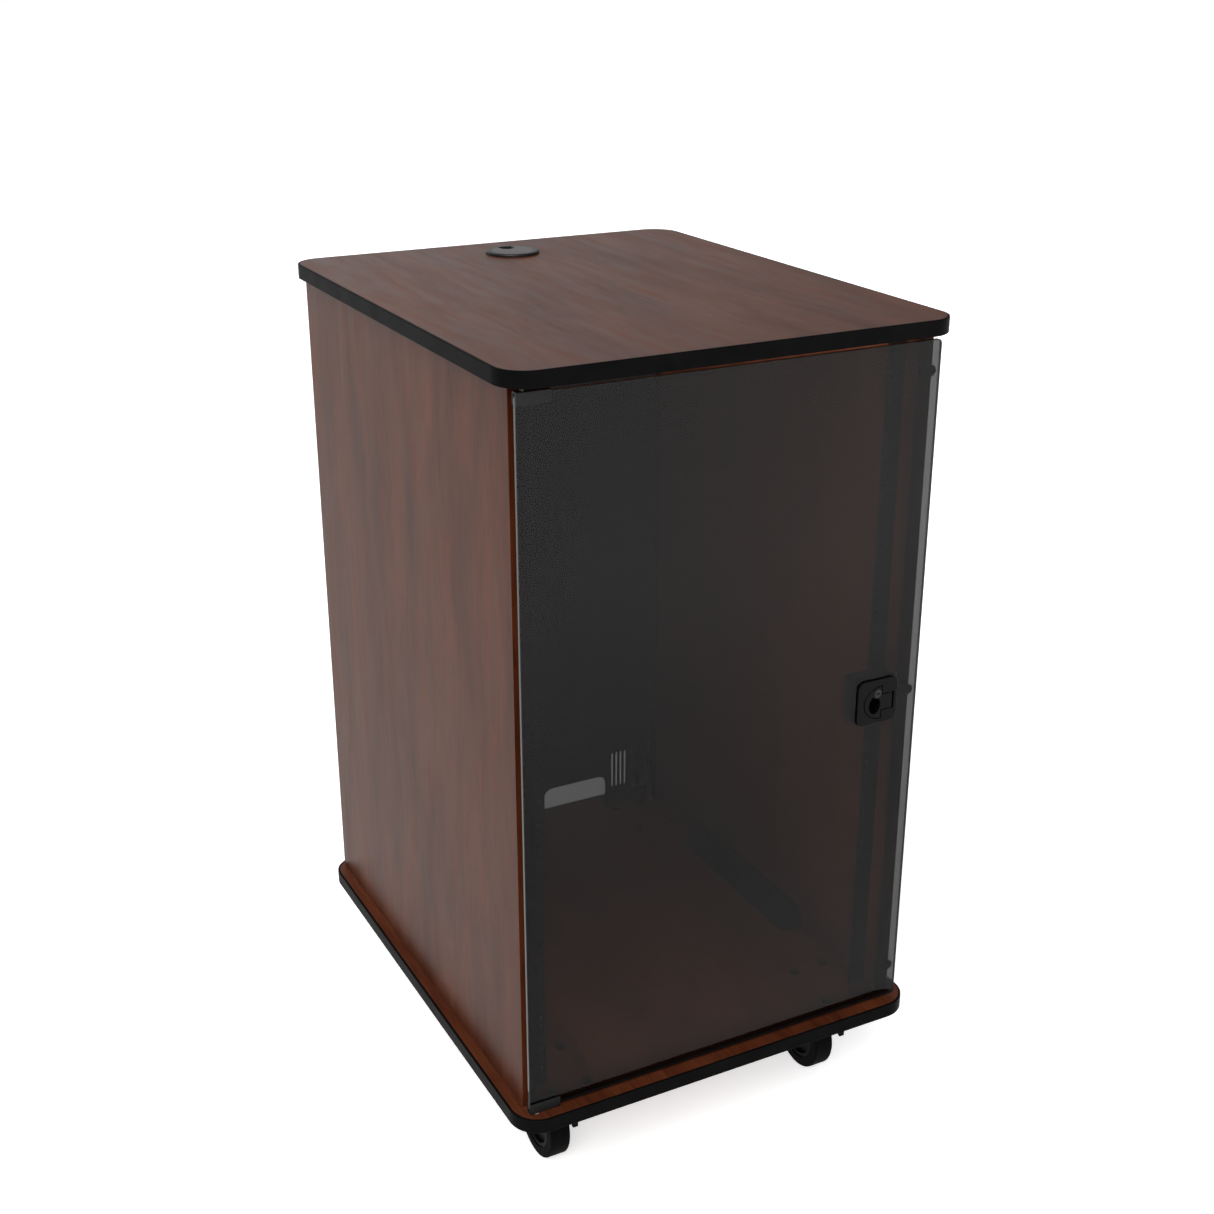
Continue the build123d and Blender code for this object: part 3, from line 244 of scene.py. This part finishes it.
def make_materials():
    """One finished material for each of the record's slots; laminate has one for each grain direction. The
    upright laminate and the edge band carry painted shade in their colours.
    """
    made = {
        "laminate": laminate("laminate_upright_shaded", "Z", UPRIGHT_SHADED_DARK, UPRIGHT_SHADED_LIGHT, UPRIGHT_IOR),
        "laminate_flat": laminate("laminate_flat", "Y", MAHOGANY_DARK, MAHOGANY_LIGHT, FLAT_IOR),
        "edge_band": laminate("edge_band_shaded", "Z", BAND_SHADED_DARK, BAND_SHADED_LIGHT, BAND_IOR),
        "black_moulding": plastic("moulding_vinyl", (0.003, 0.003, 0.003), 0.38, 1.06),
        "black_steel": powder_coat("powder_black", (0.006, 0.006, 0.006), 0.45, 1.25),
        "black_screws": plated("screw_black", (0.045, 0.045, 0.048), 0.42),
        "grommet_black": plastic("grommet_ring", (0.008, 0.008, 0.008), 0.4),
        "grommet_grey": plastic("grommet_lid", (0.068, 0.062, 0.06), 0.45),
        "nylon": plastic("nylon_natural", (0.56, 0.53, 0.46), 0.45, mottling=0.08),
        "black_rubber": rubber("rubber_black", (0.012, 0.012, 0.012)),
        "zinc": plated("zinc_bright", (0.78, 0.78, 0.77), 0.28),
        "smoked_glass": smoked_glass("glass_smoked", (0.001, 0.001, 0.001), (0.045, 0.05, 0.048)),
        "latch_black": plastic("latch_satin", (0.0015, 0.0015, 0.0015), 0.33, 1.15, 1400.0, 0.05),
        "key_metal": plated("key_nickel", (0.03, 0.03, 0.031), 0.33, (400.0, 400.0, 400.0)),
        "caster_black": powder_coat("caster_black", (0.001, 0.001, 0.001), 0.4, 1.1),
        "hub_black": plastic("hub_plastic", (0.004, 0.004, 0.004), 0.45, 1.1),
        "tyre": rubber("tyre_rubber", (0.0018, 0.0018, 0.0018)),
    }
    return made


def dress_nodes(materials):
    """Give every CAD node the finished material of its slot."""
    flat_boards = ("top_panel", "base_panel")
    for row in frame["record"]["subparts"]:
        node = row["node"]
        slot = "laminate_flat" if node in flat_boards else row["material_slot"]
        cad_piece = frame["nodes"][node]
        cad_piece.data.materials.clear()
        cad_piece.data.materials.append(materials[slot])


# ---------------------------------------------------------------- stage and light
FLOOR_SIZE = 60.0                 # metres; light strengths below are in Blender's own units
FLOOR_COLOUR = (0.80, 0.80, 0.80)
FLOOR_GLOW = 0.55
FLOOR_FRONT_GLOW = 0.85           # extra glow of the floor well in front of the object
FRONT_GLOW_FROM = -0.9
FRONT_GLOW_TO = -2.4
KEY_PLACE = (-0.62, -0.80, 1.0)   # direction to the key light
KEY_STRENGTH = 1.0
KEY_SOFTNESS = math.radians(40.0)
SKY_LEVEL = 0.33
GLOW_CENTRE = Vector((-0.15, 0.93, 0.33)).normalized()
GLOW_STRENGTH = 0.72
GLOW_EDGE = 0.60                  # cosine from the centre at which the glow starts
GLOW_FULL = 1.05
BAY_WATTS = 11.0
BAY_LIGHT_AHEAD = 0.036           # lamp in front of the stated equipment bay, close behind the glass


def add_floor():
    mesh = bpy.data.meshes.new("floor")
    half = FLOOR_SIZE / 2
    mesh.from_pydata([(-half, -half, 0), (half, -half, 0), (half, half, 0), (-half, half, 0)], [],
                     [(0, 1, 2, 3)])
    floor = bpy.data.objects.new("floor", mesh)
    bpy.context.scene.collection.objects.link(floor)
    shader = Shader("floor_pale")
    tone = shader.noise(shader.coords((1, 1, 1)), 1.5, 2.0, 0.5)
    shader.put(shader.bsdf.inputs["Base Color"],
               shader.ramp(tone, [(0.3, tuple(c * 0.985 for c in FLOOR_COLOUR)), (0.7, FLOOR_COLOUR)]))
    shader.bsdf.inputs["Roughness"].default_value = 0.9
    shader.bsdf.inputs["Specular IOR Level"].default_value = 0.0
    split = shader.node("ShaderNodeSeparateXYZ")
    shader.put(split.inputs["Vector"], shader.coords((1, 1, 1)))
    front = shader.node("ShaderNodeMapRange", interpolation_type="SMOOTHSTEP")
    shader.put(front.inputs["Value"], split.outputs["Y"])
    front.inputs["From Min"].default_value = FRONT_GLOW_FROM
    front.inputs["From Max"].default_value = FRONT_GLOW_TO
    front.inputs["To Min"].default_value = FLOOR_GLOW
    front.inputs["To Max"].default_value = FLOOR_GLOW + FLOOR_FRONT_GLOW
    shader.bsdf.inputs["Emission Color"].default_value = (1.0, 1.0, 1.0, 1.0)
    shader.put(shader.bsdf.inputs["Emission Strength"], front.outputs["Result"])
    mesh.materials.append(shader.material)


def add_world():
    """Soft studio dome with one broad glow behind and to the left; the backdrop itself is white."""
    world = bpy.data.worlds.new("studio")
    bpy.context.scene.world = world
    world.use_nodes = True
    tree = world.node_tree
    background = tree.nodes["Background"]
    where = tree.nodes.new("ShaderNodeTexCoord")
    towards = tree.nodes.new("ShaderNodeVectorMath")
    towards.operation = "DOT_PRODUCT"
    tree.links.new(where.outputs["Generated"], towards.inputs[0])
    towards.inputs[1].default_value = GLOW_CENTRE
    glow = tree.nodes.new("ShaderNodeMapRange")
    glow.interpolation_type = "SMOOTHSTEP"
    tree.links.new(towards.outputs["Value"], glow.inputs["Value"])
    glow.inputs["From Min"].default_value = GLOW_EDGE
    glow.inputs["From Max"].default_value = GLOW_FULL
    glow.inputs["To Min"].default_value = SKY_LEVEL
    glow.inputs["To Max"].default_value = SKY_LEVEL + GLOW_STRENGTH
    tree.links.new(glow.outputs["Result"], background.inputs["Strength"])
    background.inputs["Color"].default_value = (1.0, 1.0, 1.0, 1.0)
    backdrop = tree.nodes.new("ShaderNodeBackground")
    path = tree.nodes.new("ShaderNodeLightPath")
    choose = tree.nodes.new("ShaderNodeMixShader")
    tree.links.new(path.outputs["Is Camera Ray"], choose.inputs["Fac"])
    tree.links.new(background.outputs["Background"], choose.inputs[1])
    tree.links.new(backdrop.outputs["Background"], choose.inputs[2])
    backdrop.inputs["Color"].default_value = (1.0, 1.0, 1.0, 1.0)
    tree.links.new(choose.outputs["Shader"], tree.nodes["World Output"].inputs["Surface"])


def add_key():
    """Broad key light from the left front."""
    lamp = bpy.data.lights.new("key", "SUN")
    lamp.energy = KEY_STRENGTH * math.pi
    lamp.angle = KEY_SOFTNESS
    key = bpy.data.objects.new("key", lamp)
    key.location = KEY_PLACE
    key.rotation_euler = look(-Vector(KEY_PLACE))
    bpy.context.scene.collection.objects.link(key)


def add_bay_light():
    """Soft fill just behind the glass, unseen by camera and reflections; it stays put when the door opens."""
    bay = frame["record"]["physics"]["openings"][0]["box_m"]
    lamp = bpy.data.lights.new("bay", "AREA")
    lamp.shape = "RECTANGLE"
    lamp.size = bay[1][0] - bay[0][0]
    lamp.size_y = bay[1][2] - bay[0][2]
    lamp.energy = BAY_WATTS
    light = bpy.data.objects.new("bay", lamp)
    light.location = (0, bay[0][1] - BAY_LIGHT_AHEAD, (bay[0][2] + bay[1][2]) / 2)
    light.rotation_euler = look(Vector((0, 1, 0)))
    light.visible_camera = False
    light.visible_glossy = False
    bpy.context.scene.collection.objects.link(light)


add_camera()
bpy.context.scene.view_settings.view_transform = "Standard"
add_floor()
add_world()
add_key()
add_bay_light()
dress_nodes(make_materials())
